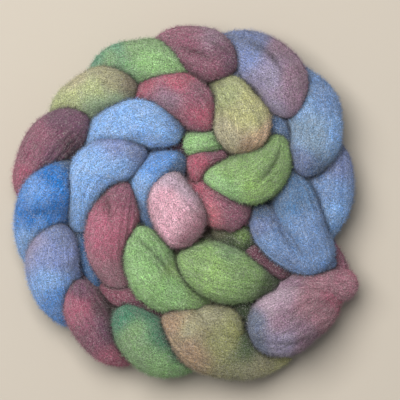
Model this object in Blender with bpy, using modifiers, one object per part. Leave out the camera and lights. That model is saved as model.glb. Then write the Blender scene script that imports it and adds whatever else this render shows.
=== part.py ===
"""Wool roving: one length of dyed combed wool top, hand-chained and coiled flat.

A soft rope of combed wool is looped through itself like a crochet chain, so that each
loop lies over the tail of the loop before it. The chain is then laid down in a flat
coil that runs anticlockwise from its rim to its middle. Every fold is a fat tapered
loop: its head sits high and round, its tail sinks under the next loop's head. The
whole length is one piece, so the loops are fused into one closed solid with a flat
underside where its weight presses it on the table.

Tables are in millimetres. Blender objects are in metres, +Z up, with the origin in
the middle of the underside.
"""

import math
from collections import namedtuple

import bmesh
import bpy
from mathutils import Vector

MM = 0.001

PART_NAME = "wool_roving"
FLATNESS = 0.82  # a loop's thickness over its width
ARCH = 4.0  # how far a loop's back rises above the line from its head to its tail
RINGS_PER_LOOP = 18
SIDE_STEPS = 8  # bevel steps, which give 20 sides to a loop
SKIN_STEP = 2.0  # the grid on which the loops are grown together
SKIN_TRIANGLES = 10500
END_RADIUS = 0.12  # the radius of a loop's closed ends over its greatest radius
HEAD_BLUNTNESS = 2.4  # 2 is a round head, more is a blunt one
TAIL_SHARPNESS = 1.45  # 1 is a round tail, more is a pointed one
TABLE_PRESS = 1.5  # how much of the lowest wool is pressed flat
TABLE_SIZE = 400.0  # the side of the block that stands for the table
CAP_GAP = 0.01  # a tube's end caps lie this near its wall
SHARP_EDGE = math.radians(40)  # what is flatter than this is shaded smooth

WOOL_COLOUR = (0.30, 0.34, 0.42, 1.0)
WOOL_ROUGHNESS = 0.95

# One row for each loop that shows: where its head and its tail end, its greatest
# width, how far it bows sideways (to the right of head-to-tail is negative), how far
# along it is fullest and, where they aren't the usual ones, its head's bluntness and
# its tail's sharpness.
Loop = namedtuple(
    "Loop",
    "name head_x head_y head_z tail_x tail_y tail_z width bow fullest blunt sharp",
    defaults=(HEAD_BLUNTNESS, TAIL_SHARPNESS),
)

RIM_LOOPS = (
    Loop("rim_start", 82, -27, 24, 88, 38, 16, 29, -4, 0.60, 2.0, 1.0),
    Loop("rim_east", 71, 15, 33, 57, 86, 13, 34, -15.5, 0.42),
    Loop("rim_north_east", 65, 51, 35, 14, 97, 13, 35.5, -13.5, 0.42),
    Loop("rim_north", 29.5, 79, 35, -28, 86, 13, 33, -9.5, 0.42),
    Loop("rim_north_west", 3, 77, 33, -62, 78, 13, 29.5, -8, 0.42),
    Loop("rim_west_north", -30, 69, 33, -84, 43, 13, 30, -9, 0.42),
    Loop("rim_west", -61, 52.5, 33, -103, 0, 13, 31, -7, 0.42),
    Loop("rim_west_south", -67, 22, 33, -96, -43, 13, 35, -8, 0.40),
    Loop("rim_south_west", -77, -14, 33, -71, -79, 13, 32, -8.5, 0.42),
    Loop("rim_south_a", -66, -49, 33, -33, -102, 13, 26, -9, 0.42),
    Loop("rim_south_b", -39, -65, 33, 14, -98, 13, 33, -12, 0.42),
    Loop("rim_south_c", -13, -69, 34, 66, -99.5, 13, 35, -10, 0.40, 2.4, 1.9),
    Loop("rim_south_east", 39, -84, 34, 100, -51, 17, 39.5, -3.5, 0.36, 2.4, 2.0),
    Loop("rim_south_c_fold", 35, -82, 27, -8, -76, 24, 29, 0, 0.42),
    Loop("rim_neck", 95, -52, 20, 92, -22, 16, 13, 0, 0.30, 2.2, 4.5),
    Loop("rim_turn", 105, -57, 22, 56, -57, 27, 21, -7, 0.26, 2.6, 1.2),
)

INNER_LOOPS = (
    Loop("inner_east_a", 82, -45, 31, 64, 22, 26, 32, 3, 0.42, 4.5, 1.3),
    Loop("inner_east_b", 44, -3, 32, 93, -40, 27, 26, -9.5, 0.45, 2.2, 0.9),
    Loop("inner_north_east", 11, 16, 40, 58, 45, 30, 32, -18, 0.45),
    Loop("inner_north", 34, 28, 40, 11, 82, 24, 35.5, -8, 0.34, 2.6, 2.6),
    Loop("inner_north_west", 14, 41, 39, -38, 58, 24, 30, -17, 0.42),
    Loop("inner_west_north", -3, 38, 38, -64, 24, 24, 31, -16, 0.42),
    Loop("inner_west", -24, 30, 39, -64, -25, 24, 32, -18.5, 0.44),
    Loop("inner_south_west", -36, 11, 39, -34, -63, 22, 30, -12.5, 0.34),
    Loop("inner_south", -28, -16, 40, 17, -66, 24, 32, -14, 0.44),
    Loop("inner_south_east", -4, -32, 40, 63, -50, 22, 33, -6.5, 0.42, 2.4, 2.4),
)

HEART_LOOPS = (
    Loop("heart_blue", 1, 24, 36, -20, -18, 26, 26, -15, 0.45),
    Loop("heart_pink", 2, -24, 42, -7, 28, 35, 32, 7.5, 0.28, 2.6, 2.2),
    Loop("heart_rose", 37, -13, 34, 1, 12, 30, 29, 0, 0.45),
    Loop("heart_rose_strand", 25, 27, 37, 10, 6, 34, 14, -11, 0.50),
    Loop("heart_green", -1, 34, 35, 26, 38, 32, 19, 0, 0.50),
)

# The inner legs of the rim's loops, of which slivers show in the crevices.
UNDER_LOOPS = (
    Loop("under_red_north", -18, 35, 24, 5, 32, 24, 14, 0, 0.50),
    Loop("under_blue_west", -72, -2, 20, -50, -61, 19, 18, 0, 0.50),
    Loop("under_red_south_west", -54, -53, 25, -4, -75, 24, 16, 0, 0.50),
    Loop("under_blue_east", 49, 56, 26, 68, 28, 24, 18, 0, 0.50),
    Loop("under_blue_north", 20, 78, 26, 42, 74, 24, 13, 0, 0.50),
    Loop("under_red_east", 35, -27, 28, 70, -50, 24, 15, 0, 0.50),
    Loop("under_green_middle", 16, -17, 25, 50, -29, 24, 18, 0, 0.50),
    Loop("under_green_south", 30, -56, 21, 44, -78, 21, 15, 0, 0.50),
    Loop("under_red_south_east", 68, -90, 14, 92, -68, 14, 12, 0, 0.50),
    Loop("under_south_east", 42, -86, 11, 94, -60, 11, 25, -3, 0.50),
)

# The backs of the chain's loops, which it rests on: rings of like loops laid end over
# end, from the rim to the middle.
BackRing = namedtuple("BackRing", "name radius count width height")

BACK_RINGS = (
    BackRing("back_rim", 84, 14, 33, 12),
    BackRing("back_outer", 62, 11, 34, 14),
    BackRing("back_inner", 39, 7, 36, 14),
    BackRing("back_heart", 15, 3, 36, 14),
)
BACK_OVERLAP = 1.45  # a back loop's length over its pitch round the ring


def back_loops(ring):
    """The loops of one ring, each bowed to follow the ring."""
    half_turn = BACK_OVERLAP * math.pi / ring.count
    for number in range(ring.count):
        middle = 2 * math.pi * number / ring.count
        head = middle - half_turn
        tail = middle + half_turn
        yield Loop(
            f"{ring.name}_{number + 1}",
            ring.radius * math.cos(head),
            ring.radius * math.sin(head),
            ring.height,
            ring.radius * math.cos(tail),
            ring.radius * math.sin(tail),
            ring.height - ARCH,
            ring.width,
            -ring.radius * (1 - math.cos(half_turn)),
            0.5,
        )


def fullness(loop, along):
    """A loop's radius over its greatest radius: round at the head, finer at the tail."""
    if along < loop.fullest:
        away = 1 - along / loop.fullest
        swell = math.sqrt(1 - away**loop.blunt)
    else:
        away = (along - loop.fullest) / (1 - loop.fullest)
        swell = (1 - away**2) ** (loop.sharp / 2)
    return max(swell, END_RADIUS)


def spine_point(loop, along):
    """A point on the line through the middle of a loop."""
    head = Vector((loop.head_x, loop.head_y, loop.head_z))
    tail = Vector((loop.tail_x, loop.tail_y, loop.tail_z))
    run = tail - head
    left = Vector((-run.y, run.x, 0)).normalized()
    bulge = 4 * along * (1 - along)
    return head + along * run + bulge * (loop.bow * left + ARCH * Vector((0, 0, 1)))


def loop_object(loop, collection):
    """One fat tapered loop: a round tube along its spine, pressed flatter afterwards."""
    curve = bpy.data.curves.new(loop.name, "CURVE")
    curve.dimensions = "3D"
    curve.twist_mode = "Z_UP"
    curve.bevel_depth = MM
    curve.bevel_resolution = SIDE_STEPS
    curve.use_fill_caps = True
    spline = curve.splines.new("POLY")
    spline.points.add(RINGS_PER_LOOP)
    for step, point in enumerate(spline.points):
        along = (1 - math.cos(math.pi * step / RINGS_PER_LOOP)) / 2
        place = spine_point(loop, along)
        place.z /= FLATNESS
        point.co = (*(place * MM), 1)
        point.radius = fullness(loop, along) * loop.width / 2
    tube = bpy.data.objects.new(loop.name + "_tube", curve)
    collection.objects.link(tube)
    graph = bpy.context.evaluated_depsgraph_get()
    mesh = bpy.data.meshes.new_from_object(tube.evaluated_get(graph))
    bpy.data.objects.remove(tube)
    bpy.data.curves.remove(curve)
    for vertex in mesh.vertices:
        vertex.co.z *= FLATNESS
    weld_caps(mesh)
    made = bpy.data.objects.new(loop.name, mesh)
    made.display_type = "WIRE"
    made.hide_render = True
    collection.objects.link(made)
    return made


def weld_caps(mesh):
    """Joins a tube's loose end caps to its wall, with every face pointing out."""
    work = bmesh.new()
    work.from_mesh(mesh)
    bmesh.ops.remove_doubles(work, verts=work.verts, dist=CAP_GAP * MM)
    bmesh.ops.recalc_face_normals(work, faces=work.faces)
    work.to_mesh(mesh)
    work.free()


def fused(loops):
    """The mesh of all the loops grown together into one body with one skin."""
    heap = bpy.data.meshes.new("loop_heap")
    work = bmesh.new()
    for loop in loops:
        work.from_mesh(loop.data)
    work.to_mesh(heap)
    work.free()
    felted = bpy.data.objects.new("loop_heap", heap)
    bpy.context.scene.collection.objects.link(felted)
    skin = felted.modifiers.new("one_skin", "REMESH")
    skin.mode = "VOXEL"
    skin.voxel_size = SKIN_STEP * MM
    graph = bpy.context.evaluated_depsgraph_get()
    fine_faces = 2 * len(felted.evaluated_get(graph).data.polygons)
    thin_out = felted.modifiers.new("fewer_faces", "DECIMATE")
    thin_out.ratio = SKIN_TRIANGLES / fine_faces
    graph = bpy.context.evaluated_depsgraph_get()
    mesh = bpy.data.meshes.new_from_object(felted.evaluated_get(graph))
    bpy.data.objects.remove(felted)
    bpy.data.meshes.remove(heap)
    return mesh


def lay_on_table(mesh):
    """Centres the mesh over the origin, with its lowest wool TABLE_PRESS under z = 0."""
    xs = [vertex.co.x for vertex in mesh.vertices]
    ys = [vertex.co.y for vertex in mesh.vertices]
    zs = [vertex.co.z for vertex in mesh.vertices]
    middle_x = (min(xs) + max(xs)) / 2
    middle_y = (min(ys) + max(ys)) / 2
    shift = Vector((middle_x, middle_y, min(zs) + TABLE_PRESS * MM))
    for vertex in mesh.vertices:
        vertex.co -= shift


def table_cutter(collection):
    """A block with its top at z = 0, which leaves the underside flat."""
    mesh = bpy.data.meshes.new("table_block")
    work = bmesh.new()
    bmesh.ops.create_cube(work, size=TABLE_SIZE * MM)
    work.to_mesh(mesh)
    work.free()
    block = bpy.data.objects.new("table_block", mesh)
    block.location.z = -TABLE_SIZE / 2 * MM
    block.display_type = "WIRE"
    block.hide_render = True
    collection.objects.link(block)
    return block


def wool_material():
    material = bpy.data.materials.new("dyed_wool")
    material.use_nodes = True
    shader = material.node_tree.nodes["Principled BSDF"]
    shader.inputs["Base Color"].default_value = WOOL_COLOUR
    shader.inputs["Roughness"].default_value = WOOL_ROUGHNESS
    shader.inputs["Metallic"].default_value = 0.0
    return material


def new_collection(name):
    collection = bpy.data.collections.new(name)
    bpy.context.scene.collection.children.link(collection)
    return collection


def build():
    for old in list(bpy.data.objects):
        bpy.data.objects.remove(old)
    part = new_collection(PART_NAME)
    forms = new_collection("loop_forms")
    rows = list(RIM_LOOPS + INNER_LOOPS + HEART_LOOPS + UNDER_LOOPS)
    for ring in BACK_RINGS:
        rows += back_loops(ring)
    loops = [loop_object(row, forms) for row in rows]
    mesh = fused(loops)
    lay_on_table(mesh)
    mesh.name = PART_NAME
    mesh.shade_smooth()
    mesh.set_sharp_from_angle(angle=SHARP_EDGE)
    mesh.materials.clear()
    mesh.materials.append(wool_material())
    roving = bpy.data.objects.new(PART_NAME, mesh)
    part.objects.link(roving)
    flat = roving.modifiers.new("flat_underside", "BOOLEAN")
    flat.operation = "DIFFERENCE"
    flat.solver = "EXACT"
    flat.object = table_cutter(forms)


build()
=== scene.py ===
# %% [markdown]
# # A coil of hand-dyed wool roving
#
# Roving, or combed top, is a soft rope of wool fibres that all lie along it, ready for
# spinning. This one was poured with many dyes, then looped through itself by hand like
# a crochet chain and laid down in a flat coil. So the object is one strand, but what we
# see is a heap of plump loops, each lying over the tail of the one before.
#
# Three things make it look like wool: the plump tapered loops with folds where the rope
# is squeezed, the dyes that melt into each other along the fibres, and the short fuzz
# that softens every edge. Each has its own step below.

# %% Load the frame and keep its size
import math
from collections import namedtuple

import bpy
import numpy as np
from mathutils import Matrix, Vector


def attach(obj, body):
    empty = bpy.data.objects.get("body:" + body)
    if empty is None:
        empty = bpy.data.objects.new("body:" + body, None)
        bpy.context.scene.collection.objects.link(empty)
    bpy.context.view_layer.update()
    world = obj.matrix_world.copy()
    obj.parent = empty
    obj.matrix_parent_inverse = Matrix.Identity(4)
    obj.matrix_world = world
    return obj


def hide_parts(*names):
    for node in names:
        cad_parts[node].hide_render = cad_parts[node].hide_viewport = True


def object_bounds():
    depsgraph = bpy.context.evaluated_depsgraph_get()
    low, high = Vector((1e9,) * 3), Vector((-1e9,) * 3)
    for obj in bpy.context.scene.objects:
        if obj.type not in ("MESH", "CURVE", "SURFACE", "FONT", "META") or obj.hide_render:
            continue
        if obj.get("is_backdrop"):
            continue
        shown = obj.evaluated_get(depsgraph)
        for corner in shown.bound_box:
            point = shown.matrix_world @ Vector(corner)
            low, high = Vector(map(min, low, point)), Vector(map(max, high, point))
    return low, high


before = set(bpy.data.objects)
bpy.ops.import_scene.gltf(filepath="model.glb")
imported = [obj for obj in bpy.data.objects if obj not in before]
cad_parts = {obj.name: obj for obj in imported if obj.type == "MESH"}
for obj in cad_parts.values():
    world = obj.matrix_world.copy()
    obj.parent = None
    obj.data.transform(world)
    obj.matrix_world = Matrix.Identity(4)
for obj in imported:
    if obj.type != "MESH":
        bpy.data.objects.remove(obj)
MM = 0.001
cad_low, cad_high = (np.array(corner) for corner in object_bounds())
print("the roving's solid measures", np.round((cad_high - cad_low) / MM, 1), "mm")

# %% [markdown]
# ## The loops of the chain
#
# A loop could be modelled one by one with a sculpting brush, but a table is easier to
# check and to mend. A row says where a loop's head and tail end, in millimetres, how
# wide it is at its fullest, how far it bows sideways, and how far along that fullest
# place lies. Where a head is blunter or a tail finer than usual, two more columns say
# so. The rim runs anticlockwise from the start of the strand, the inner round follows
# it, and the heart is the end of the strand, tucked into the middle.

# %% The loops that show
HEAD_BLUNTNESS = 2.4  # 2 is a round head, more is a blunt one
TAIL_SHARPNESS = 1.45  # 1 is a round tail, more is a pointed one
Loop = namedtuple(
    "Loop",
    "name head_x head_y head_z tail_x tail_y tail_z width bow fullest blunt sharp",
    defaults=(HEAD_BLUNTNESS, TAIL_SHARPNESS),
)

RIM_LOOPS = (
    Loop("rim_start", 82, -27, 24, 88, 38, 16, 29, -4, 0.60, 2.0, 1.0),
    Loop("rim_east", 71, 15, 33, 57, 86, 13, 34, -15.5, 0.42),
    Loop("rim_north_east", 65, 51, 35, 14, 97, 13, 35.5, -13.5, 0.42),
    Loop("rim_north", 29.5, 79, 35, -28, 86, 13, 33, -9.5, 0.42),
    Loop("rim_north_west", 3, 77, 33, -62, 78, 13, 29.5, -8, 0.42),
    Loop("rim_west_north", -30, 69, 33, -84, 43, 13, 30, -9, 0.42),
    Loop("rim_west", -61, 52.5, 33, -103, 0, 13, 31, -7, 0.42),
    Loop("rim_west_south", -67, 22, 33, -96, -43, 13, 35, -8, 0.40),
    Loop("rim_south_west", -77, -14, 33, -71, -79, 13, 32, -8.5, 0.42),
    Loop("rim_south_a", -66, -49, 33, -33, -102, 13, 26, -9, 0.42),
    Loop("rim_south_b", -39, -65, 33, 14, -98, 13, 33, -12, 0.42),
    Loop("rim_south_c", -13, -69, 34, 66, -99.5, 13, 35, -10, 0.40, 2.4, 1.9),
    Loop("rim_south_east", 39, -84, 34, 100, -51, 17, 39.5, -3.5, 0.36, 2.4, 2.0),
    Loop("rim_south_c_fold", 35, -82, 27, -8, -76, 24, 29, 0, 0.42),
    Loop("rim_neck", 95, -52, 20, 92, -22, 16, 13, 0, 0.30, 2.2, 4.5),
    Loop("rim_turn", 105, -57, 22, 56, -57, 27, 21, -7, 0.26, 2.6, 1.2),
)
INNER_LOOPS = (
    Loop("inner_east_a", 82, -45, 31, 64, 22, 26, 32, 3, 0.42, 4.5, 1.3),
    Loop("inner_east_b", 44, -3, 32, 93, -40, 27, 26, -9.5, 0.45, 2.2, 0.9),
    Loop("inner_north_east", 11, 16, 40, 58, 45, 30, 32, -18, 0.45),
    Loop("inner_north", 34, 28, 40, 11, 82, 24, 35.5, -8, 0.34, 2.6, 2.6),
    Loop("inner_north_west", 14, 41, 39, -38, 58, 24, 30, -17, 0.42),
    Loop("inner_west_north", -3, 38, 38, -64, 24, 24, 31, -16, 0.42),
    Loop("inner_west", -24, 30, 39, -64, -25, 24, 32, -18.5, 0.44),
    Loop("inner_south_west", -36, 11, 39, -34, -63, 22, 30, -12.5, 0.34),
    Loop("inner_south", -28, -16, 40, 17, -66, 24, 32, -14, 0.44),
    Loop("inner_south_east", -4, -32, 40, 63, -50, 22, 33, -6.5, 0.42, 2.4, 2.4),
)
HEART_LOOPS = (
    Loop("heart_blue", 1, 24, 36, -20, -18, 26, 26, -15, 0.45),
    Loop("heart_pink", 8, -22.5, 41, -7, 28, 35, 33, 10, 0.27, 2.8, 2.1),
    Loop("heart_rose", 37, -13, 34, 1, 12, 30, 29, 0, 0.45),
    Loop("heart_rose_strand", 25, 27, 37, 10, 6, 34, 14, -11, 0.50),
    Loop("heart_green", -1, 34, 35, 26, 38, 32, 19, 0, 0.50),
)
SHOWN_LOOPS = RIM_LOOPS + INNER_LOOPS + HEART_LOOPS
print(len(SHOWN_LOOPS), "loops show from above")

# %% [markdown]
# Between those loops, slivers of the strand's inner legs show in the crevices. We could
# leave the crevices dark, but their colours show in the real coil. The legs are loops
# like the others, only thinner and lower.

# %% The inner legs in the crevices
UNDER_LOOPS = (
    Loop("under_red_north", -18, 35, 24, 5, 32, 24, 14, 0, 0.50),
    Loop("under_blue_west", -72, -2, 20, -50, -61, 19, 18, 0, 0.50),
    Loop("under_red_south_west", -54, -53, 25, -4, -75, 24, 16, 0, 0.50),
    Loop("under_blue_east", 49, 56, 26, 68, 28, 24, 18, 0, 0.50),
    Loop("under_blue_north", 20, 78, 26, 42, 74, 24, 13, 0, 0.50),
    Loop("under_red_east", 35, -27, 28, 70, -50, 24, 15, 0, 0.50),
    Loop("under_green_middle", 16, -17, 25, 50, -29, 24, 18, 0, 0.50),
    Loop("under_green_south", 30, -56, 21, 44, -78, 21, 15, 0, 0.50),
    Loop("under_red_south_east", 68, -90, 14, 92, -68, 14, 12, 0, 0.50),
    Loop("under_south_east", 42, -86, 11, 94, -60, 11, 25, -3, 0.50),
)

# %% [markdown]
# The coil rests on the backs of its loops. A chain's back is a row of like loops laid
# end over end, so a short table of rings is enough: a loop is made for each place round
# a ring, bowed to follow it.

# %% The backs of the chain, in rings
ARCH = 4.0  # how far a loop's back rises above the line from its head to its tail
BACK_OVERLAP = 1.45  # a back loop's length over its pitch round the ring
BackRing = namedtuple("BackRing", "name radius count width height")
BACK_RINGS = (
    BackRing("back_rim", 84, 14, 33, 12),
    BackRing("back_outer", 62, 11, 34, 14),
    BackRing("back_inner", 39, 7, 36, 14),
    BackRing("back_heart", 15, 3, 36, 14),
)


def back_loops(ring):
    """The loops of one ring, each bowed to follow the ring."""
    half_turn = BACK_OVERLAP * math.pi / ring.count
    for number in range(ring.count):
        middle = 2 * math.pi * number / ring.count
        head = middle - half_turn
        tail = middle + half_turn
        yield Loop(
            f"{ring.name}_{number + 1}",
            ring.radius * math.cos(head),
            ring.radius * math.sin(head),
            ring.height,
            ring.radius * math.cos(tail),
            ring.radius * math.sin(tail),
            ring.height - ARCH,
            ring.width,
            -ring.radius * (1 - math.cos(half_turn)),
            0.5,
        )


BACK_LOOPS = tuple(loop for ring in BACK_RINGS for loop in back_loops(ring))
ALL_LOOPS = SHOWN_LOOPS + UNDER_LOOPS + BACK_LOOPS
print(len(ALL_LOOPS), "loops in all")

# %% [markdown]
# ## The form of one loop
#
# A loop is a tube swept along a bowed line. Its head is blunt and round, because the
# rope turns over there, and its tail is drawn out fine. A curve with a bevel would make
# the tube, but we want folds on it, and a place for every fibre later. So numpy works
# the skin out as points: `along` runs from 0 at the head to 1 at the tail, and `turn`
# is the angle round the tube, a quarter turn being straight up.
#
# Wool lies a little flat. The tube is swept round in a space where heights are
# stretched, and comes back with its heights pressed.

# %% The form of a loop
FLATNESS = 0.82  # a loop's thickness over its width
PRESS = np.array((1.0, 1.0, FLATNESS))
UP = np.array((0.0, 0.0, 1.0))
TIP = 0.03  # the radius of the first and last ring over the greatest one
STEP = 1e-3  # a short way along a loop, over which its direction is measured
SPINE_POINTS = 30  # the places that a loop's length is measured between


def unit(vectors):
    """Vectors that point the same way and are one long."""
    return vectors / np.linalg.norm(vectors, axis=-1, keepdims=True)


def fullness(loop, along):
    """A loop's radius over its greatest radius."""
    to_head = np.clip(1 - along / loop.fullest, 0, 1)
    to_tail = np.clip((along - loop.fullest) / (1 - loop.fullest), 0, 1)
    swell = np.sqrt(1 - to_head**loop.blunt) * (1 - to_tail**2) ** (loop.sharp / 2)
    return np.maximum(swell, TIP)


def spine(loop, along):
    """Points on the line through the middle of a loop, in mm."""
    head = np.array((loop.head_x, loop.head_y, loop.head_z), float)
    tail = np.array((loop.tail_x, loop.tail_y, loop.tail_z), float)
    run = tail - head
    left = unit(np.array((-run[1], run[0], 0)))
    bulge = 4 * along * (1 - along)
    return head + np.outer(along, run) + np.outer(bulge, loop.bow * left + ARCH * UP)


def spine_run(loop, along):
    """The way that a loop's spine runs at places along it."""
    return spine(loop, along + STEP) - spine(loop, along - STEP)


def length_of(loop):
    points = spine(loop, np.linspace(0, 1, SPINE_POINTS))
    return np.linalg.norm(np.diff(points, axis=0), axis=1).sum()


print("the longest loop is", round(max(length_of(loop) for loop in SHOWN_LOOPS)), "mm")

# %% Sweep its skin
STEEPEST = 3  # the skin's slope is cut off here, because it grows without end at a tip
MIDWAY = np.array((0.5,))


def sweep(loop, along, turn, relief=0.0):
    """Points on a loop's skin and the way they face, for arrays of along and turn."""
    forward = unit(spine_run(loop, along) / PRESS)
    right = unit(np.cross(forward, UP))
    over = np.cross(right, forward)
    out = np.cos(turn)[:, None] * right + np.sin(turn)[:, None] * over
    radius = fullness(loop, along) * loop.width / 2 + relief
    ahead = fullness(loop, np.clip(along + STEP, 0, 1))
    behind = fullness(loop, np.clip(along - STEP, 0, 1))
    slope = (ahead - behind) * loop.width / (4 * STEP * length_of(loop))
    facing = out - np.clip(slope, -STEEPEST, STEEPEST)[:, None] * forward
    skin = (spine(loop, along) / PRESS + radius[:, None] * out) * PRESS
    return skin, unit(facing / PRESS)


crest, _ = sweep(SHOWN_LOOPS[0], MIDWAY, np.array((np.pi / 2,)))
print("the middle of the first loop has its crest at", np.round(crest[0], 1), "mm")

# %% [markdown]
# ## Folds
#
# A squeezed rope of wool folds along its length. A sculptor would draw the folds with a
# brush. They are few and each has its own place, so here they are listed as lines drawn
# on the loops, seen from above in millimetres. A fold only moves the skin in, so the
# loop keeps its size.

# %% The folds
Fold = namedtuple("Fold", "loop start_x start_y end_x end_y bow depth width")
FOLDS = (
    Fold("rim_north", -5, 95, 15, 86, 1, 4.2, 2.2),
    Fold("rim_north", 12, 101, 26, 92, 1, 2.2, 1.8),
    Fold("rim_north_east", 32, 101, 60, 78, 6, 4.4, 2.2),
    Fold("rim_west", -74, 37, -63, 26, 0, 1.6, 2.6),
    Fold("rim_west_south", -98, -8, -80, -7, -1, 3.0, 3.0),
    Fold("rim_south_east", 72, -64, 98, -66, 2, 2.8, 2.0),
    Fold("rim_south_east", 36, -84, 84, -84, -5, 2.4, 1.8),
    Fold("rim_south_east", 60, -70, 94, -70, 1, 1.6, 1.6),
    Fold("inner_east_a", 84, 12, 89, -22, 2, 1.8, 2.2),
    Fold("inner_east_a", 58, -14, 74, -36, -2, 3.4, 2.4),
    Fold("inner_east_b", 58, -14, 74, -36, -2, 3.4, 2.4),
    Fold("inner_north_east", 59, 34, 42, 10, 4, 4.0, 2.2),
    Fold("inner_north", 14, 72, 22, 36, 2, 2.1, 1.5),
    Fold("inner_north", 17, 75, 30, 36, 3, 2.4, 1.5),
    Fold("inner_north", 20, 75, 38, 37, 4, 2.2, 1.5),
    Fold("inner_north", 24, 75, 46, 42, 4, 1.6, 1.5),
    Fold("inner_south_west", -52, 4, -46, -13, 0, 4.2, 3.0),
    Fold("inner_south", -36, -21, -6, -47, 2.5, 4.4, 1.9),
    Fold("inner_south", -34, -29, -10, -50, 2, 2.0, 1.7),
    Fold("inner_south_east", 2, -36, 42, -50, 3, 1.8, 1.8),
)
FOLD_POINTS = 24
FOLD_END = 0.04  # the depth at this share of a fold's length is kept up to its end
FOLD_EDGE = 3  # how soon a fold dies out on the side of a loop


def fold_line(fold):
    """Points along a fold, which is a line that bows sideways."""
    share = np.linspace(0, 1, FOLD_POINTS)
    start = np.array((fold.start_x, fold.start_y), float)
    run = np.array((fold.end_x, fold.end_y), float) - start
    left = unit(np.array((-run[1], run[0])))
    bulge = 4 * share * (1 - share)
    return share, start + np.outer(share, run) + np.outer(bulge, fold.bow * left)


def fold_depth(loop, points, turn):
    """How far the folds pull each point of a loop's skin in, in mm."""
    depth = np.zeros(len(points))
    on_top = np.clip(np.sin(turn) * FOLD_EDGE + 1, 0, 1)
    for fold in FOLDS:
        if fold.loop != loop.name:
            continue
        share, line = fold_line(fold)
        gap = np.linalg.norm(points[:, None, :2] - line[None], axis=2)
        inside = np.clip(share[gap.argmin(axis=1)], FOLD_END, 1 - FOLD_END)
        fade = np.sqrt(np.sin(np.pi * inside))
        depth += fold.depth * fade * on_top * np.exp(-gap.min(axis=1) / fold.width)
    return depth


folded = {fold.loop for fold in FOLDS}
print(len(FOLDS), "folds on", len(folded), "loops")

# %% [markdown]
# ## Creases and shadows
#
# Where two loops press on each other, the wool gives way and a narrow crease runs
# between them. Blender could find how near two meshes are, but the loops are simple
# enough to ask them directly. Each counts as a row of discs along its spine, and a
# point's gap to the nearest disc tells how deep it lies in a crease.
#
# The discs also tell which points another loop covers, and how much a higher loop keeps
# the light from a point. That shadow is deeper south of the higher loop than north of
# it, because the window stands to the north.

# %% A loop as a row of discs
DISCS = 40


def eased(share):
    """Shares from 0 to 1, moved closer together near both ends."""
    return (1 - np.cos(np.pi * share)) / 2


def discs_of(loop):
    """The middles of a loop's discs, the way they face and their radii."""
    places = eased((np.arange(DISCS) + 0.5) / DISCS)
    forward = unit(spine_run(loop, places) / PRESS)
    return spine(loop, places) / PRESS, forward, fullness(loop, places) * loop.width / 2


print("a loop's radii in mm:", np.round(discs_of(SHOWN_LOOPS[0])[2][::8], 1))

# %% How near a loop is
FAR = 12.0  # gaps are not worked out beyond this, in mm
DISC_REACH = 2.0  # a point further than this from every disc isn't inside, in mm
SHADOW_SPREAD = 4.5  # how far beside a higher loop the wool is in its shadow, in mm
SHADOW_RISE = 8.0  # how much higher that loop is for a full shadow, in mm
SHADOW_SIDE = 0.75  # the share of the shadow east or west of the higher loop
SHADOW_TURN = 0.6  # how much more of it there is to the south, and less to the north


def near_loop(points, loop):
    """Each point's way to a loop in mm, below 0 inside it, and the shadow it casts."""
    centres, forward, radii = discs_of(loop)
    offset = (points / PRESS)[:, None] - centres[None]
    ahead = (offset * forward[None]).sum(axis=2)
    beside = np.sqrt(np.maximum((offset**2).sum(axis=2) - ahead**2, 0))
    way = np.hypot(ahead, np.maximum(beside - radii, 0))
    rise = (centres[:, 2] + radii) * FLATNESS - points[:, None, 2]
    north = offset[:, :, 1] / np.linalg.norm(offset, axis=2)
    shadow = np.exp(-way / SHADOW_SPREAD) * np.clip(rise / SHADOW_RISE, 0, 1)
    shadow *= np.clip(SHADOW_SIDE - SHADOW_TURN * north, 0, 1)
    level = np.abs(ahead).argmin(axis=1)[:, None]
    depth = np.take_along_axis(beside - radii, level, axis=1)[:, 0]
    beyond = np.take_along_axis(np.abs(ahead), level, axis=1)[:, 0]
    inside = (depth < 0) & (beyond < DISC_REACH)
    return np.where(inside, depth, way.min(axis=1)), shadow.max(axis=1)


def near_others(points, others):
    """Each point's way to the nearest of the others, and the deepest shadow it is in."""
    gap = np.full(len(points), FAR)
    shadow = np.zeros(len(points))
    for loop in others:
        reach = length_of(loop) / 2 + loop.width / 2 + FAR
        close = np.linalg.norm(points - spine(loop, MIDWAY), axis=1) < reach
        if close.any():
            way, over = near_loop(points[close], loop)
            gap[close] = np.minimum(gap[close], way)
            shadow[close] = np.maximum(shadow[close], over)
    return gap, shadow


# %% How a loop's points lie to the loops round it
CREASE_DEPTH = 0.7
CREASE_WIDTH = 1.2
COVERED_DEPTH = 0.3  # a point this far inside another loop is covered, in mm
ONE_FOLD = (  # loops that are one fold of the rope, with no crease between them
    {"rim_south_c", "rim_south_c_fold"},
    {"rim_south_east", "under_south_east", "rim_turn"},
    {"rim_turn", "rim_neck"},
    {"inner_east_a", "inner_east_b"},
)
Near = namedtuple("Near", "gap shadow covered folded")


def nearness(loop, points, turn):
    """How a loop's points lie to the loops round them, and in its own folds."""
    one_fold = {loop.name}.union(*(names for names in ONE_FOLD if loop.name in names))
    shown = [other for other in SHOWN_LOOPS + UNDER_LOOPS if other.name not in one_fold]
    same = [other for other in ALL_LOOPS if other.name in one_fold - {loop.name}]
    backs = [other for other in BACK_LOOPS if other.name != loop.name]
    gap, shadow = near_others(points, shown)
    own_gap, _ = near_others(points, same + backs)
    covered = np.minimum(gap, own_gap) < -COVERED_DEPTH
    return Near(gap, shadow, covered, fold_depth(loop, points, turn))


def crease_depth(gap):
    """How far a crease pulls the skin in, at a gap to the next loop."""
    return CREASE_DEPTH * np.exp(-np.maximum(gap, 0) / CREASE_WIDTH)


print("at a gap of 1 mm a crease is", round(float(crease_depth(1.0)), 2), "mm deep")

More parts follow.
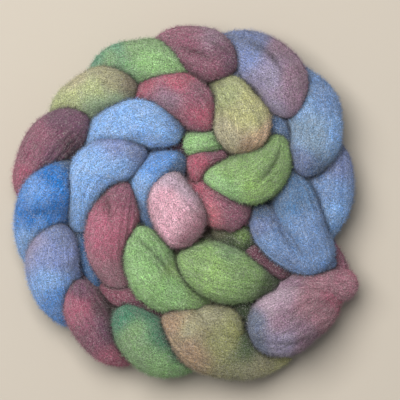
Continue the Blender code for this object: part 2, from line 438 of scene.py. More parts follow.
# %% [markdown]
# ## Bundles of fibres
#
# Fibres gather in bundles that show as faint ridges, and the rope is never quite even.
# A noise texture on a Displace modifier would give lumps, but not lumps that follow the
# fibres. So both are waves round the tube that drift a little along it: a few slow ones
# for the lumps, and more and finer ones for the bundles, with a seed for each loop.

# %% The bundles of fibres
FULL_TURN = 2 * np.pi
LUMP_HEIGHT = 0.55
LUMP_WAVES = (1, 2, 3)  # waves round the loop
FEWEST_LUMPS, MOST_LUMPS = 1.0, 2.6  # waves along the loop
BUNDLE_HEIGHT = 0.2
BUNDLE_COUNT = 9
FEWEST_BUNDLES, MOST_BUNDLES = 7, 24  # waves round the loop
BUNDLE_DRIFT = 2.5  # how far round the loop a bundle wanders on its way, in radians


def bundles(loop, along, turn):
    """Slow lumps and fine ridges along the fibres, in mm."""
    draw = np.random.default_rng(sum(map(ord, loop.name)))
    relief = np.zeros(len(along))
    for waves_round in LUMP_WAVES:
        phase = draw.uniform(0, FULL_TURN)
        waves_along = draw.uniform(FEWEST_LUMPS, MOST_LUMPS)
        wave = np.sin(FULL_TURN * waves_along * along + waves_round * turn + phase)
        relief += LUMP_HEIGHT / waves_round * wave
    for waves_round in draw.integers(FEWEST_BUNDLES, MOST_BUNDLES, BUNDLE_COUNT):
        phase = draw.uniform(0, FULL_TURN)
        drift = draw.uniform(-BUNDLE_DRIFT, BUNDLE_DRIFT)
        strength = np.sin(np.pi * (along + draw.uniform(0, 1))) ** 2
        wave = np.sin(waves_round * turn + drift * along + phase)
        relief += BUNDLE_HEIGHT * strength * wave
    return relief * fullness(loop, along)


reliefs = bundles(SHOWN_LOOPS[0], np.full(90, 0.5), np.linspace(0, FULL_TURN, 90))
print("round its middle the first loop is uneven by", round(np.ptp(reliefs), 1), "mm")

# %% [markdown]
# ## From loops to meshes
#
# The rings of points become a mesh of quads, with a fan of triangles at each tip. Rings
# are closer together near the tips, where the form turns fastest. The mesh carries two
# maps: "fibre" holds real lengths along and round the loop, for the finish, and
# "OFBake" spreads the loop over a square, for anyone who wants to paint it.
#
# The table's middle is not quite the frame's middle, so the loops are moved once, all
# together, until their outermost points meet the frame's box.

# %% Where the coil lies in the frame
ROUGH_SKIN = (24, 24)  # rings and sides, enough to find how far the coil reaches


def skin_grid(rings, sides):
    """Places along and round a loop: ring after ring, with the seam underneath."""
    share = eased(np.arange(rings + 1) / rings)
    turns = -np.pi / 2 + FULL_TURN * np.arange(sides) / sides
    return np.repeat(share, sides), np.tile(turns, rings + 1)


plain = np.concatenate([sweep(loop, *skin_grid(*ROUGH_SKIN))[0] for loop in ALL_LOOPS])
middle = (plain.min(axis=0) + plain.max(axis=0)) / 2
SHIFT = (cad_low + cad_high) / 2 / MM - middle
SHIFT[2] = cad_high[2] / MM - plain[:, 2].max()
print("the loops are moved by", np.round(SHIFT, 2), "mm")


# %% A mesh from the rings
def new_mesh(name, points, faces, corners_of):
    """A mesh from points in mm and faces of four or three points."""
    mesh = bpy.data.meshes.new(name)
    mesh.from_pydata((points + SHIFT) * MM, [], faces)
    for map_name, places in corners_of.items():
        uv = mesh.uv_layers.new(name=map_name)
        uv.data.foreach_set("uv", places.astype(np.float32).ravel())
    mesh.shade_smooth()
    return mesh


def ring_faces(rings, sides):
    """Faces over the rings and their two tips, with the map place of every corner."""
    faces = []
    places = []
    for ring in range(rings):
        for side in range(sides):
            near = ring * sides + side
            next_side = ring * sides + (side + 1) % sides
            faces.append((near, next_side, next_side + sides, near + sides))
            places += [(ring, side), (ring, side + 1), (ring + 1, side + 1), (ring + 1, side)]
    head_tip = (rings + 1) * sides
    last = rings * sides
    for side in range(sides):
        faces.append((head_tip, (side + 1) % sides, side))
        places += [(-1, side + 0.5), (0, side + 1), (0, side)]
        faces.append((head_tip + 1, last + side, last + (side + 1) % sides))
        places += [(rings + 1, side + 0.5), (rings, side), (rings, side + 1)]
    return faces, np.array(places, float)


print("a tube of 2 rings and 3 sides has", len(ring_faces(2, 3)[0]), "faces")

# %% [markdown]
# Now the steps come together. A loop's plain skin tells how near the others are. The
# skin is then swept again, with its bundles pushed out and its folds and creases pulled
# in. Where it would go through the table, it is pressed flat, as the real wool is.

# %% A finished loop
def shaped(loop, along, turn):
    """A loop's finished skin, the way it faces, and how near the others are."""
    smooth_skin, _ = sweep(loop, along, turn)
    near = nearness(loop, smooth_skin, turn)
    pulled_in = near.folded + crease_depth(near.gap)
    skin, facing = sweep(loop, along, turn, bundles(loop, along, turn) - pulled_in)
    return skin, facing, near


def loop_mesh(loop, rings, sides):
    """A loop's mesh, pressed flat where it meets the table, and its points' shading."""
    along, turn = skin_grid(rings, sides)
    skin, _, near = shaped(loop, along, turn)
    points = np.concatenate([skin, spine(loop, np.array((0.0, 1.0)))])
    points[:, 2] = np.maximum(points[:, 2], -SHIFT[2])
    light = shading(near)
    light = np.append(light, (light[0], light[-1]))
    faces, places = ring_faces(rings, sides)
    share = eased(np.clip(places[:, 0], 0, rings) / rings)
    round_share = places[:, 1] / sides
    real = np.column_stack(
        (share * length_of(loop) * MM, round_share * np.pi * loop.width * MM)
    )
    square = np.column_stack(((places[:, 0] + 1) / (rings + 2), round_share))
    mesh = new_mesh(loop.name, points, faces, {"fibre": real, "OFBake": square})
    return mesh, points, light


_, _, first_near = shaped(SHOWN_LOOPS[0], *skin_grid(*ROUGH_SKIN))
print("other loops cover", round(first_near.covered.mean() * 100), "% of the first loop")

# %% [markdown]
# ## The dyes, and the shade painted into them
#
# A dyer pours colour on the wet wool in pools, which creep along the fibres and melt
# into each other. An image could carry them, but pools are simpler: a short shade card
# of named dyes, and a list of where each was poured on each loop, seen from above in
# millimetres. Every point of a loop takes a blend of its pools, the nearest counting
# most, and a slow wobble keeps their edges from being too even.
#
# The blend is then darkened with painted shade in the creases and folds, where little
# light comes in, and with painted shadow beside loops that stand higher.

# %% The shade card
SHADE_CARD = {
    "sky": (140, 176, 222),
    "azure": (108, 152, 210),
    "deep_blue": (58, 120, 190),
    "cornflower": (118, 146, 188),
    "grey_blue": (128, 150, 172),
    "periwinkle": (132, 146, 190),
    "denim": (112, 126, 164),
    "steel_blue": (90, 122, 160),
    "slate": (98, 108, 130),
    "ink": (62, 86, 116),
    "lavender": (150, 142, 168),
    "mauve": (139, 112, 130),
    "plum": (137, 89, 107),
    "dark_plum": (105, 71, 92),
    "wine": (88, 56, 70),
    "rosewood": (170, 104, 124),
    "raspberry": (165, 93, 110),
    "bright_rose": (196, 122, 134),
    "dusty_rose": (156, 115, 127),
    "shell_pink": (210, 167, 182),
    "orchid": (184, 162, 178),
    "spring_green": (144, 182, 126),
    "apple": (150, 182, 116),
    "leaf": (132, 162, 106),
    "teal": (100, 150, 126),
    "sage": (140, 160, 130),
    "fern": (126, 156, 112),
    "spruce": (70, 120, 96),
    "moss": (72, 92, 58),
    "pear": (170, 178, 132),
    "straw": (184, 184, 136),
    "wheat": (174, 168, 140),
    "peach": (222, 192, 164),
    "khaki": (155, 152, 122),
    "olive": (138, 140, 96),
    "tan": (160, 135, 112),
    "taupe": (116, 106, 88),
}


def linear(shade):
    """The share of light that a shade sends back, from its 0 to 255 value on screen."""
    screen = np.array(shade) / 255
    return np.where(screen <= 0.04045, screen / 12.92, ((screen + 0.055) / 1.055) ** 2.4)


DYES = {name: linear(shade) for name, shade in SHADE_CARD.items()}
print(len(DYES), "dyes")

# %% Where each dye was poured
POURS = {
    "rim_start": (
        ("periwinkle", 98, 27),
        ("cornflower", 90, 2),
        ("sky", 94, -10),
        ("sky", 92, -20),
        ("denim", 97, 33),
    ),
    "rim_east": (
        ("cornflower", 79, 78),
        ("cornflower", 89, 60),
        ("grey_blue", 73, 50),
        ("sky", 70, 56),
        ("grey_blue", 80, 37),
        ("sky", 92, 42),
        ("denim", 71, 20),
        ("ink", 82, 16),
    ),
    "rim_north_east": (
        ("periwinkle", 38, 88),
        ("denim", 32, 100),
        ("denim", 43, 94),
        ("mauve", 58, 94),
        ("mauve", 68, 78),
        ("lavender", 49, 78),
        ("lavender", 56, 58),
        ("mauve", 63, 61),
        ("mauve", 68, 62),
    ),
    "rim_north": (
        ("plum", -8, 103),
        ("plum", 5, 94),
        ("mauve", 17, 102),
        ("dark_plum", 27, 86),
        ("plum", 18, 80),
    ),
    "rim_north_west": (
        ("teal", -57, 88),
        ("teal", -47, 95),
        ("fern", -50, 88),
        ("fern", -33, 97),
        ("spring_green", -20, 84),
        ("fern", -14, 96),
    ),
    "rim_west_north": (
        ("pear", -72, 62),
        ("wheat", -68, 76),
        ("khaki", -55, 82),
        ("khaki", -46, 77),
        ("pear", -58, 68),
        ("taupe", -34, 73),
        ("sage", -55, 58),
        ("sage", -45, 60),
    ),
    "rim_west": (
        ("dark_plum", -78, 50),
        ("plum", -90, 43),
        ("dark_plum", -66, 53),
        ("plum", -96, 27),
        ("dark_plum", -84, 27),
        ("wine", -69, 30),
        ("rosewood", -101, 14),
    ),
    "rim_west_south": (
        ("azure", -93, 6),
        # The ink pour at its head is painted shade, where the loops beside it shade it.
        ("ink", -68, 27),
        ("deep_blue", -82, 14),
        ("deep_blue", -97, -8),
        ("deep_blue", -82, -7),
        ("sky", -99, -26),
        ("azure", -88, -18),
    ),
    "rim_south_west": (
        ("denim", -80, -18),
        ("periwinkle", -90, -33),
        ("periwinkle", -80, -36),
        ("lavender", -96, -30),
        ("sky", -86, -50),
        ("azure", -82, -62),
    ),
    "rim_south_a": (
        ("dark_plum", -66, -52),
        ("rosewood", -67, -68),
        ("plum", -60, -80),
        ("rosewood", -45, -99),
        ("wine", -52, -66),
        ("dark_plum", -51, -80),
    ),
    "rim_south_b": (
        ("spruce", -41, -70),
        ("spruce", -24, -70),
        ("fern", -33, -84),
        ("fern", -26, -96),
        ("spruce", -13, -84),
        ("spruce", -2, -96),
        ("spring_green", -14, -104),
        ("spring_green", 2, -104),
    ),
    "rim_south_c": (
        ("tan", -9, -74),
        ("tan", 2, -90),
        ("khaki", 11, -69),
        ("khaki", 3, -82),
        ("olive", 24, -87),
        # The moss pour is partly the wool's own olive green and partly painted shade in a
        # crease.
        ("moss", 37, -89),
        ("khaki", 46, -102),
        ("straw", 60, -102),
    ),
    "rim_south_east": (
        ("slate", 39, -77),
        ("slate", 46, -90),
        ("mauve", 58, -70),
        ("orchid", 54, -62),
        ("lavender", 58, -90),
        ("mauve", 72, -88),
        ("dusty_rose", 76, -62),
        ("dusty_rose", 86, -70),
        ("rosewood", 94, -62),
    ),
    "rim_south_c_fold": (("khaki", 11, -69), ("khaki", 3, -82), ("olive", 26, -84)),
    "rim_neck": (("plum", 92, -36),),
    "rim_turn": (
        ("mauve", 62, -55),
        ("orchid", 56, -58),
        ("dusty_rose", 82, -52),
        ("dusty_rose", 103, -50),
        ("plum", 92, -36),
        ("rosewood", 106, -46),
    ),
    "inner_east_a": (
        ("cornflower", 75, -17),
        ("cornflower", 82, -32),
        ("steel_blue", 70, 10),
        ("steel_blue", 60, -2),
    ),
    "inner_east_b": (
        ("cornflower", 52, -24),
        ("ink", 48, -5),
        ("denim", 45, -18),
        ("denim", 61, -2),
    ),
    "inner_north_east": (
        ("leaf", 60, 27),
        ("leaf", 48, 16),
        ("leaf", 30, 22),
        ("spring_green", 22, 8),
        ("apple", 44, 8),
    ),
    "inner_north": (
        ("olive", 14, 76),
        ("pear", 22, 66),
        ("straw", 34, 54),
        ("straw", 43, 53),
        ("peach", 50, 42),
        ("tan", 38, 33),
        ("wheat", 26, 40),
    ),
    "inner_north_west": (
        ("raspberry", -25, 70),
        ("raspberry", -4, 76),
        ("mauve", -14, 64),
        ("plum", 9, 66),
        ("raspberry", 9, 50),
        ("plum", 4, 44),
    ),
    "inner_west_north": (
        ("sky", -42, 59),
        ("sky", -38, 48),
        ("sky", -26, 44),
        ("sky", -15, 42),
        ("cornflower", -4, 46),
    ),
    "inner_west": (
        ("sky", -59, 21),
        ("sky", -66, 8),
        ("cornflower", -20, 34),
        ("denim", -28, 30),
        ("sky", -44, 20),
        ("periwinkle", -44, 36),
        ("sky", -64, -14),
    ),
    "inner_south_west": (
        ("rosewood", -52, -17),
        ("plum", -38, 6),
        ("rosewood", -47, -30),
        ("dusty_rose", -45, -42),
    ),
    "inner_south": (
        ("spring_green", -30, -33),
        ("spring_green", -20, -23),
        ("spring_green", -17, -38),
        ("apple", -6, -44),
        ("spring_green", -8, -54),
        ("apple", 6, -46),
    ),
    "inner_south_east": (
        ("leaf", 3, -36),
        ("leaf", 12, -30),
        ("fern", 26, -30),
        ("apple", 18, -40),
        ("leaf", 36, -42),
        ("moss", 57, -49),
    ),
    "heart_blue": (
        ("azure", -24, 20),
        ("azure", -12, 26),
        ("ink", -4, 23),
        ("sky", -28, 10),
        ("cornflower", -22, -8),
    ),
    "heart_pink": (
        ("orchid", -8, 17),
        ("orchid", -2, 12),
        ("shell_pink", -14, -2),
        ("shell_pink", -8, -14),
        ("dusty_rose", 8, -16),
        ("dusty_rose", 0, -25),
    ),
    "heart_rose": (
        ("raspberry", 8, 4),
        ("bright_rose", 15, -8),
        ("plum", 24, -3),
        ("plum", 32, -8),
    ),
    "heart_rose_strand": (("raspberry", 8, 22), ("plum", 20, 28)),
    "heart_green": (("spring_green", 10, 38),),
    "under_red_north": (("dark_plum", -6, 34),),
    "under_blue_west": (("azure", -60, -34), ("ink", -60, -14)),
    "under_red_south_west": (
        ("rosewood", -43, -61),
        ("plum", -26, -66),
    ),
    "under_blue_east": (("cornflower", 58, 42),),
    "under_blue_north": (("periwinkle", 30, 76),),
    "under_red_east": (("plum", 52, -38),),
    "under_green_middle": (
        ("wheat", 20, -15),
        ("apple", 36, -21),
        # The moss pours on its lower side are painted shade, for the dark gap beneath the
        # strand.
        ("moss", 24, -25),
        ("moss", 40, -30),
    ),
    # Its moss is partly the strand's own green and partly painted shade, for the dark gap it
    # lies in.
    "under_green_south": (("moss", 37, -66),),
    "under_red_south_east": (("plum", 80, -80),),
}
EVERY_POUR = tuple(pour for pours in POURS.values() for pour in pours)
print(len(EVERY_POUR), "pours on", len(POURS), "loops")

# %% Blend the pools
POOL_EDGE = 5.0  # how softly one pool melts into the next, in mm
WOBBLE = 2.5  # how far a pool's edge wanders, in mm
Waves = namedtuple("Waves", "across across_start along along_start")
WAVES_X = Waves(4.7, 1.1, 6.1, 0.0)  # mm to a radian, and where the waves start
WAVES_Y = Waves(5.3, 0.4, 7.9, 2.0)


def wandered(here, other, waves):
    """One coordinate, moved to and fro with both, so that no pool's edge is even."""
    first = np.sin(other / waves.across + waves.across_start)
    second = np.sin(here / waves.along + waves.along_start)
    return here + WOBBLE * first * second


def dyed(loop, points):
    """The dye at each point. The backs take theirs from whatever lies above them."""
    x = wandered(points[:, 0], points[:, 1], WAVES_X)
    y = wandered(points[:, 1], points[:, 0], WAVES_Y)
    blend = np.zeros((len(points), 3))
    total = np.zeros((len(points), 1))
    for dye, pour_x, pour_y in POURS.get(loop.name, EVERY_POUR):
        gap = (x - pour_x) ** 2 + (y - pour_y) ** 2
        weight = 1 / (gap + POOL_EDGE**2)[:, None] ** 2
        blend += weight * DYES[dye]
        total += weight
    return blend / total


first_dye = dyed(SHOWN_LOOPS[0], spine(SHOWN_LOOPS[0], MIDWAY))[0]
print("the middle of the first loop sends back", np.round(first_dye, 2), "of the light")


# %% Paint shade and shadow into the dye, and keep the colours
# Painted shade darkens the dye in creases and folds, and painted shadow darkens it beside
# higher loops.
CREASE_DARKNESS = 0.68
CREASE_SPREAD = 1.2  # how far out of a crease it is darker, in mm
FOLD_DARKNESS = 0.16  # for each mm that a fold pulls the wool in
DEEPEST_FOLD = 4.0  # a fold gets no darker beyond this depth, in mm
SHADOW_DARKNESS = 0.5
# UNDER_SHADE is painted shade: the inner legs and the backs are darkened all over.
UNDER_SHADE = 0.58  # what the wool under the loops that show keeps of its brightness


def shading(near):
    """How much brightness each point keeps under the shade and shadow painted on it."""
    crease = 1 - CREASE_DARKNESS * np.exp(-np.maximum(near.gap, 0) / CREASE_SPREAD)
    fold = 1 - FOLD_DARKNESS * np.minimum(near.folded, DEEPEST_FOLD)
    return crease * fold * (1 - SHADOW_DARKNESS * near.shadow)


def give_shaded_dye(mesh, colours):
    """Keeps each point's dye, with its painted shade, on the mesh for the finish."""
    attribute = mesh.color_attributes.new("dye", "FLOAT_COLOR", "POINT")
    rows = np.column_stack((colours, np.ones(len(colours))))
    attribute.data.foreach_set("color", rows.astype(np.float32).ravel())


print("in a crease the wool keeps", round(1 - CREASE_DARKNESS, 2), "of its brightness")

# %% [markdown]
# ## The finish of the wool
#
# Wool is matt. Each fibre scatters light, so the body gets a high roughness, hardly any
# gloss and a little sheen, which brightens it where we look along its surface. The dye,
# with the shade and shadow painted into it, comes from the mesh. A photograph of wool
# could break it up, but four noises need no picture: streaks along the fibres, a fine
# grain, a slow mottle where the dye took better or worse, and specks of fibres that took
# hardly any. Streaks and grain also give the bump. The same finish serves the fuzz,
# without the bump, which is too fine for it.

# %% The noises in the wool
PALE_FIBRE = np.array((0.60, 0.58, 0.55))  # fibres that took hardly any dye
STREAK_SCALE = (95, 1000, 1)  # waves in a metre along the fibres, and across them
# A noise's values from low to high become least to most.
Noise = namedtuple("Noise", "scale detail roughness low high least most")
STREAKS = Noise(1.0, 4.0, 0.5, 0.3, 0.7, 0.6, 1.24)
GRAIN = Noise(1350.0, 3.0, 0.65, 0.36, 0.66, 0.46, 2.08)
MOTTLE = Noise(170.0, 3.0, 0.5, 0.3, 0.7, 0.98, 1.16)
SPECKS = Noise(1500.0, 1.0, 0.5, 0.55, 0.75, 0.0, 0.55)


def fibre_places(tree):
    """Places along and round a loop, stretched so that noise on them makes streaks."""
    fibre_map = tree.nodes.new("ShaderNodeUVMap")
    fibre_map.uv_map = "fibre"
    stretch = tree.nodes.new("ShaderNodeVectorMath")
    stretch.operation = "MULTIPLY"
    stretch.inputs[1].default_value = STREAK_SCALE
    tree.links.new(fibre_map.outputs["UV"], stretch.inputs[0])
    return stretch.outputs[0]


def add_noise(tree, noise, places):
    """A noise over these places, brought to the range that its row gives."""
    texture = tree.nodes.new("ShaderNodeTexNoise")
    texture.inputs["Scale"].default_value = noise.scale
    texture.inputs["Detail"].default_value = noise.detail
    texture.inputs["Roughness"].default_value = noise.roughness
    tree.links.new(places, texture.inputs["Vector"])
    spread = tree.nodes.new("ShaderNodeMapRange")
    spread.inputs["From Min"].default_value = noise.low
    spread.inputs["From Max"].default_value = noise.high
    spread.inputs["To Min"].default_value = noise.least
    spread.inputs["To Max"].default_value = noise.most
    tree.links.new(texture.outputs["Fac"], spread.inputs["Value"])
    return spread.outputs["Result"]


print("the grain's spots are about", round(1 / GRAIN.scale / MM, 1), "mm across")

# %% The finish
BUMP_DEPTH = 0.3  # in mm


def wool_finish(name, bump_depth):
    """Matt wool in its points' dyes and painted shade, with a bump of this depth in mm."""
    finish = bpy.data.materials.new(name)
    finish.use_nodes = True
    tree = finish.node_tree
    shader = tree.nodes["Principled BSDF"]
    shader.inputs["Roughness"].default_value = 0.95
    shader.inputs["Specular IOR Level"].default_value = 0.15
    shader.inputs["Sheen Weight"].default_value = 0.12
    shader.inputs["Sheen Roughness"].default_value = 0.6

    places = tree.nodes.new("ShaderNodeTexCoord").outputs["Object"]
    brightness = tree.nodes.new("ShaderNodeMath")
    brightness.operation = "MULTIPLY"
    streaks = add_noise(tree, STREAKS, fibre_places(tree))
    tree.links.new(streaks, brightness.inputs[0])
    tree.links.new(add_noise(tree, GRAIN, places), brightness.inputs[1])

    # The 'dye' attribute holds each point's dye with the painted shade and shadow in it.
    dye = tree.nodes.new("ShaderNodeAttribute")
    dye.attribute_name = "dye"
    shade = tree.nodes.new("ShaderNodeHueSaturation")
    tree.links.new(dye.outputs["Color"], shade.inputs["Color"])
    tree.links.new(brightness.outputs[0], shade.inputs["Value"])
    tree.links.new(add_noise(tree, MOTTLE, places), shade.inputs["Saturation"])

    paler = tree.nodes.new("ShaderNodeMix")
    paler.data_type = "RGBA"
    paler.inputs["B"].default_value = (*PALE_FIBRE, 1)
    tree.links.new(add_noise(tree, SPECKS, places), paler.inputs["Factor"])
    tree.links.new(shade.outputs["Color"], paler.inputs["A"])
    tree.links.new(paler.outputs["Result"], shader.inputs["Base Color"])

    if bump_depth:
        bump = tree.nodes.new("ShaderNodeBump")
        bump.inputs["Strength"].default_value = 1.0
        bump.inputs["Distance"].default_value = bump_depth * MM
        tree.links.new(brightness.outputs[0], bump.inputs["Height"])
        tree.links.new(bump.outputs["Normal"], shader.inputs["Normal"])
    return finish


wool = wool_finish("combed_wool", BUMP_DEPTH)
fuzz_wool = wool_finish("wool_fuzz", 0)
print("finishes:", wool.name, "and", fuzz_wool.name)

# %% [markdown]
# ## Making the loops
#
# The loops that show get a fine skin, since their bundles are real shape, and a finer
# one where there are folds. The inner legs and the backs are hardly seen, so theirs is
# coarse. Every loop is a piece of its own, rides on the one body there is, and stands
# for the solid, which is then not shown.

# %% Make every loop
FOLDED_SKIN = (76, 88)  # rings and sides
SHOWN_SKIN = (60, 72)
UNDER_SKIN = (30, 32)
BACK_SKIN = (22, 22)


def add_piece(mesh, finish):
    """A piece of the roving, which rides on its body and stands for its solid."""
    mesh.materials.append(finish)
    piece = bpy.data.objects.new(mesh.name, mesh)
    bpy.context.scene.collection.objects.link(piece)
    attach(piece, "root")
    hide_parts("wool_roving")
    return piece


def add_loop(loop, skin, shade=1.0):
    """One loop of the chain, dyed, darkened with painted shade, and finished."""
    mesh, points, light = loop_mesh(loop, *skin)
    give_shaded_dye(mesh, dyed(loop, points) * light[:, None] * shade)
    return add_piece(mesh, wool)


loop_pieces = []
for loop in SHOWN_LOOPS:
    loop_pieces.append(add_loop(loop, FOLDED_SKIN if loop.name in folded else SHOWN_SKIN))
loop_pieces += [add_loop(loop, UNDER_SKIN, UNDER_SHADE) for loop in UNDER_LOOPS]
loop_pieces += [add_loop(loop, BACK_SKIN, UNDER_SHADE) for loop in BACK_LOOPS]


def triangles(piece):
    return sum(len(face.vertices) - 2 for face in piece.data.polygons)


print(sum(map(triangles, loop_pieces)), "triangles in", len(loop_pieces), "loops")

# %% [markdown]
# ## The fuzz
#
# Loose ends of fibre stand off the wool all over. A particle system would do for a
# picture, but we want real meshes that anyone can use. Most are short and straight, and
# give the wool its bloom, so each is only a thin three-sided spike. A few are longer and
# have a bend in them. All of a loop's fibres are made at once. They start on its skin,
# and roots that another loop covers are left out.

# %% Where the roots are
Fuzz = namedtuple("Fuzz", "name seed per_sq_mm shortest longest radius lean rise bent")
SHORT_FUZZ = Fuzz("fuzz", 1000, 1.55, 1.5, 4.4, 0.09, 1.1, 0.35, False)
LONG_FUZZ = Fuzz("hair", 2000, 0.14, 3.0, 6.5, 0.045, 0.6, 0.12, True)
WIDEST_TURN = 1.25 * np.pi  # roots lie from this turn over the top to its mirror
FIRST_ROOT, LAST_ROOT = 0.004, 0.99  # the share of a loop's length that has roots
LOWEST_ROOT = 0.5  # none lies nearer to the table, in mm


def fibre_roots(loop, fuzz, draw):
    """Places along and round a loop where a fibre starts."""
    lowest = np.pi - WIDEST_TURN
    area = length_of(loop) * loop.width / 2 * (WIDEST_TURN - lowest)
    count = int(area * fuzz.per_sq_mm)
    along = draw.uniform(FIRST_ROOT, LAST_ROOT, count)
    turn = draw.uniform(lowest, WIDEST_TURN, count)
    kept = draw.uniform(0, 1, count) < fullness(loop, along)
    return along[kept], turn[kept]


some_roots, _ = fibre_roots(SHOWN_LOOPS[0], SHORT_FUZZ, np.random.default_rng(0))
print("the first loop has about", len(some_roots), "short fibres before any is left out")

# %% The form of a fibre
SIDES = FULL_TURN * np.arange(3) / 3
STRAIGHT_FIBRE = np.array(((2, 1, 0), (0, 1, 3), (1, 2, 3), (2, 0, 3)))
BENT_FIBRE = np.array(
    (
        (2, 1, 0), (0, 1, 4), (0, 4, 3), (1, 2, 5), (1, 5, 4),
        (2, 0, 3), (2, 3, 5), (3, 4, 6), (4, 5, 6), (5, 3, 6),
    )
)  # fmt: skip
OFF_UP = UP + 0.01  # not quite up, so that a fibre that stands upright has a side too
ROOT_DEPTH = 0.2  # how deep in the skin a fibre starts, in mm
RISE_SHAPE = 2.0  # the shape of the gamma spread of the rises
CURL = 0.6  # how far a bent fibre turns at its knee, in radians
LEAST_DIP, MOST_DIP = -0.35, 1.0  # how its far half rises, over how its near half does
KNEE_RADIUS = 0.8  # its radius at the knee over that at the root
TABLE_GAP = 0.02  # the least height of a fibre above the table, in mm


def triangle_ring(centre, direction, radius):
    """Three points round each centre, square to its direction."""
    side = unit(np.cross(direction, OFF_UP))
    other = np.cross(direction, side)
    spread = np.cos(SIDES)[:, None, None] * side + np.sin(SIDES)[:, None, None] * other
    return centre + radius * spread


def fibre_points(loop, fuzz, along, root, facing, draw):
    """The points of every fibre: fibres, then points, then x, y and z."""
    count = len(along)
    across = unit(np.cross(facing, unit(spine_run(loop, along))))
    lean = draw.normal(0, fuzz.lean, count)[:, None]
    flip = np.where(draw.uniform(0, 1, count) < 0.5, -1.0, 1.0)[:, None]
    lie = unit(np.cross(across, facing)) * np.cos(lean) * flip + across * np.sin(lean)
    length = draw.uniform(fuzz.shortest, fuzz.longest, count)[:, None]
    rise = draw.gamma(RISE_SHAPE, fuzz.rise, count)[:, None]
    curl = draw.normal(0, CURL, count)[:, None]
    dip = draw.uniform(LEAST_DIP, MOST_DIP, count)[:, None] * rise
    first = unit(lie + rise * facing)
    rings = [triangle_ring(root - ROOT_DEPTH * facing, first, fuzz.radius)]
    if fuzz.bent:
        turned = unit(lie * np.cos(curl) + np.cross(facing, lie) * np.sin(curl))
        bend = root + 0.5 * length * first
        rings.append(triangle_ring(bend, unit(first + turned), fuzz.radius * KNEE_RADIUS))
        rings.append((bend + 0.5 * length * unit(turned + dip * facing))[None])
    else:
        rings.append((root + length * first)[None])
    points = np.concatenate(rings).transpose(1, 0, 2)
    lowest = points[:, :, 2].min(axis=1) + SHIFT[2]
    points[:, :, 2] += np.maximum(TABLE_GAP - lowest, 0)[:, None]
    return points


print("a straight fibre has", len(STRAIGHT_FIBRE), "triangles, a bent one", len(BENT_FIBRE))

# %% Grow the fibres
DARKEST, BRIGHTEST = 0.55, 1.5  # a fibre's brightness over that of its dye
PALEST = 0.5  # how much of its dye the palest fibre lacks
PALE_RARITY = 3  # more makes pale fibres rarer
MAP_EDGE = 0.01  # the fibres keep this far from the ends of the map
MAP_SPOT = 0.003  # how far apart a fibre's points lie on the map
MAP_START = 0.25  # the map starts underneath, a quarter turn before the side


def fibre_maps(loop, along, turn, faces, size):
    """The map places of every corner of the fibres, whose points number size each."""
    share_along = MAP_EDGE + (1 - 2 * MAP_EDGE) * along
    on_map = np.column_stack((share_along, (turn / FULL_TURN + MAP_START) % 1))
    spots = MAP_SPOT * np.column_stack((np.arange(size), np.arange(size) % 3))
    places = on_map[:, None] + spots[None]
    real = places * (length_of(loop) * MM, np.pi * loop.width * MM)
    corners = faces.ravel()
    return {"fibre": real.reshape(-1, 2)[corners], "OFBake": places.reshape(-1, 2)[corners]}


def add_fuzz(loop, fuzz, number):
    """One piece with all the fibres of one kind that stand off a loop."""
    draw = np.random.default_rng(fuzz.seed + number)
    along, turn = fibre_roots(loop, fuzz, draw)
    root, facing, near = shaped(loop, along, turn)
    kept = ~near.covered & (root[:, 2] + SHIFT[2] > LOWEST_ROOT)
    along, turn, root, facing = along[kept], turn[kept], root[kept], facing[kept]
    points = fibre_points(loop, fuzz, along, root, facing, draw)
    count, size = points.shape[:2]
    one_fibre = BENT_FIBRE if fuzz.bent else STRAIGHT_FIBRE
    faces = (one_fibre[None] + size * np.arange(count)[:, None, None]).reshape(-1, 3)
    maps = fibre_maps(loop, along, turn, faces, size)
    mesh = new_mesh(f"{fuzz.name}_{loop.name}", points.reshape(-1, 3), faces.tolist(), maps)
    shade = draw.uniform(DARKEST, BRIGHTEST, count)[:, None]
    pale = PALEST * draw.uniform(0, 1, count)[:, None] ** PALE_RARITY
    colours = dyed(loop, root) * shade * (1 - pale) + PALE_FIBRE * pale
    # The fibres take the painted shade and shadow of the skin they stand on.
    colours *= shading(near)[kept, None]
    give_shaded_dye(mesh, np.repeat(np.clip(colours, 0, 1), size, axis=0))
    return add_piece(mesh, fuzz_wool)


fuzz_pieces = []
for number, loop in enumerate(SHOWN_LOOPS):
    fuzz_pieces.append(add_fuzz(loop, SHORT_FUZZ, number))
    fuzz_pieces.append(add_fuzz(loop, LONG_FUZZ, number))
print(sum(map(triangles, fuzz_pieces)), "triangles of fuzz")
print("largest piece:", max(map(triangles, loop_pieces + fuzz_pieces)), "triangles")

# %% [markdown]
# ## The floor
#
# A floor could be a studio backdrop that curves up behind the coil, but this one is
# seen from above. A wide flat square is enough: plain, pale and matt, so that the coil's
# soft shadow shows on it.

# %% The floor
FLOOR_SIZE = 6.0  # in metres
FLOOR_SHADE = (181, 173, 161)
FLOOR_ROUGHNESS = 0.9

floor_mesh = bpy.data.meshes.new("floor")
half = FLOOR_SIZE / 2
corners = [(-half, -half, 0), (half, -half, 0), (half, half, 0), (-half, half, 0)]
floor_mesh.from_pydata(corners, [], [(0, 1, 2, 3)])
floor_finish = bpy.data.materials.new("pale_floor")
floor_finish.use_nodes = True
floor_shader = floor_finish.node_tree.nodes["Principled BSDF"]
floor_shader.inputs["Base Color"].default_value = (*linear(FLOOR_SHADE), 1)
floor_shader.inputs["Roughness"].default_value = FLOOR_ROUGHNESS
floor_mesh.materials.append(floor_finish)
floor = bpy.data.objects.new("floor", floor_mesh)
bpy.context.scene.collection.objects.link(floor)
floor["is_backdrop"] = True
print("the floor is", FLOOR_SIZE, "m wide")

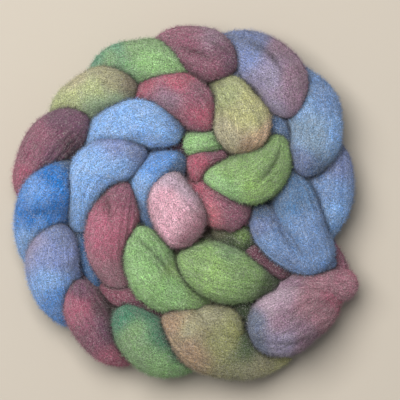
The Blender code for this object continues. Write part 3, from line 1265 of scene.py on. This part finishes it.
# %% [markdown]
# ## Light and camera
#
# One big soft light stands to the upper left, as a window would, and a weak light from
# all round fills the shadows. A picture of a room could light the wool too, but it would
# tint the dyes. The camera looks straight down from far off with a long lens, so that
# the rim's loops are not seen from the side.

# %% Light
scene = bpy.context.scene
WINDOW_PLACE = Vector((-0.45, 0.55, 1.6))
WINDOW_SIZE = 1.3  # in metres
WINDOW_POWER = 47  # in watts
WINDOW_COLOUR = (1.0, 0.98, 0.95)
ROOM_COLOUR = (0.96, 0.98, 1.0)
ROOM_STRENGTH = 0.26

window = bpy.data.lights.new("window", "AREA")
window.size = WINDOW_SIZE
window.energy = WINDOW_POWER
window.color = WINDOW_COLOUR
window_holder = bpy.data.objects.new("window", window)
window_holder.location = WINDOW_PLACE
window_holder.rotation_euler = WINDOW_PLACE.to_track_quat("Z", "Y").to_euler()
scene.collection.objects.link(window_holder)

surroundings = bpy.data.worlds.new("surroundings")
scene.world = surroundings
surroundings.use_nodes = True
room_light = surroundings.node_tree.nodes["Background"]
room_light.inputs["Color"].default_value = (*ROOM_COLOUR, 1)
room_light.inputs["Strength"].default_value = ROOM_STRENGTH
scene.view_settings.view_transform = "Standard"
print("the window stands", round(WINDOW_PLACE.length, 2), "m from the coil")

# %% Camera
CAMERA_HEIGHT = 2.0  # in metres above what it looks at
VIEW_WIDTH = 0.248  # what the picture takes in there, in metres
SENSOR_WIDTH = 36.0  # in mm
AIM_X, AIM_Y, AIM_Z = 8.5, 0.1, 30.0  # the picture's middle, as in the loops' table
AIM = Vector((AIM_X + SHIFT[0], AIM_Y + SHIFT[1], AIM_Z)) * MM

camera = bpy.data.cameras.new("camera")
camera.sensor_width = SENSOR_WIDTH
camera.lens = SENSOR_WIDTH * CAMERA_HEIGHT / VIEW_WIDTH
camera_holder = bpy.data.objects.new("camera", camera)
camera_holder.location = AIM + Vector((0, 0, CAMERA_HEIGHT))
scene.collection.objects.link(camera_holder)
scene.camera = camera_holder
print("the lens is", round(camera.lens), "mm long")
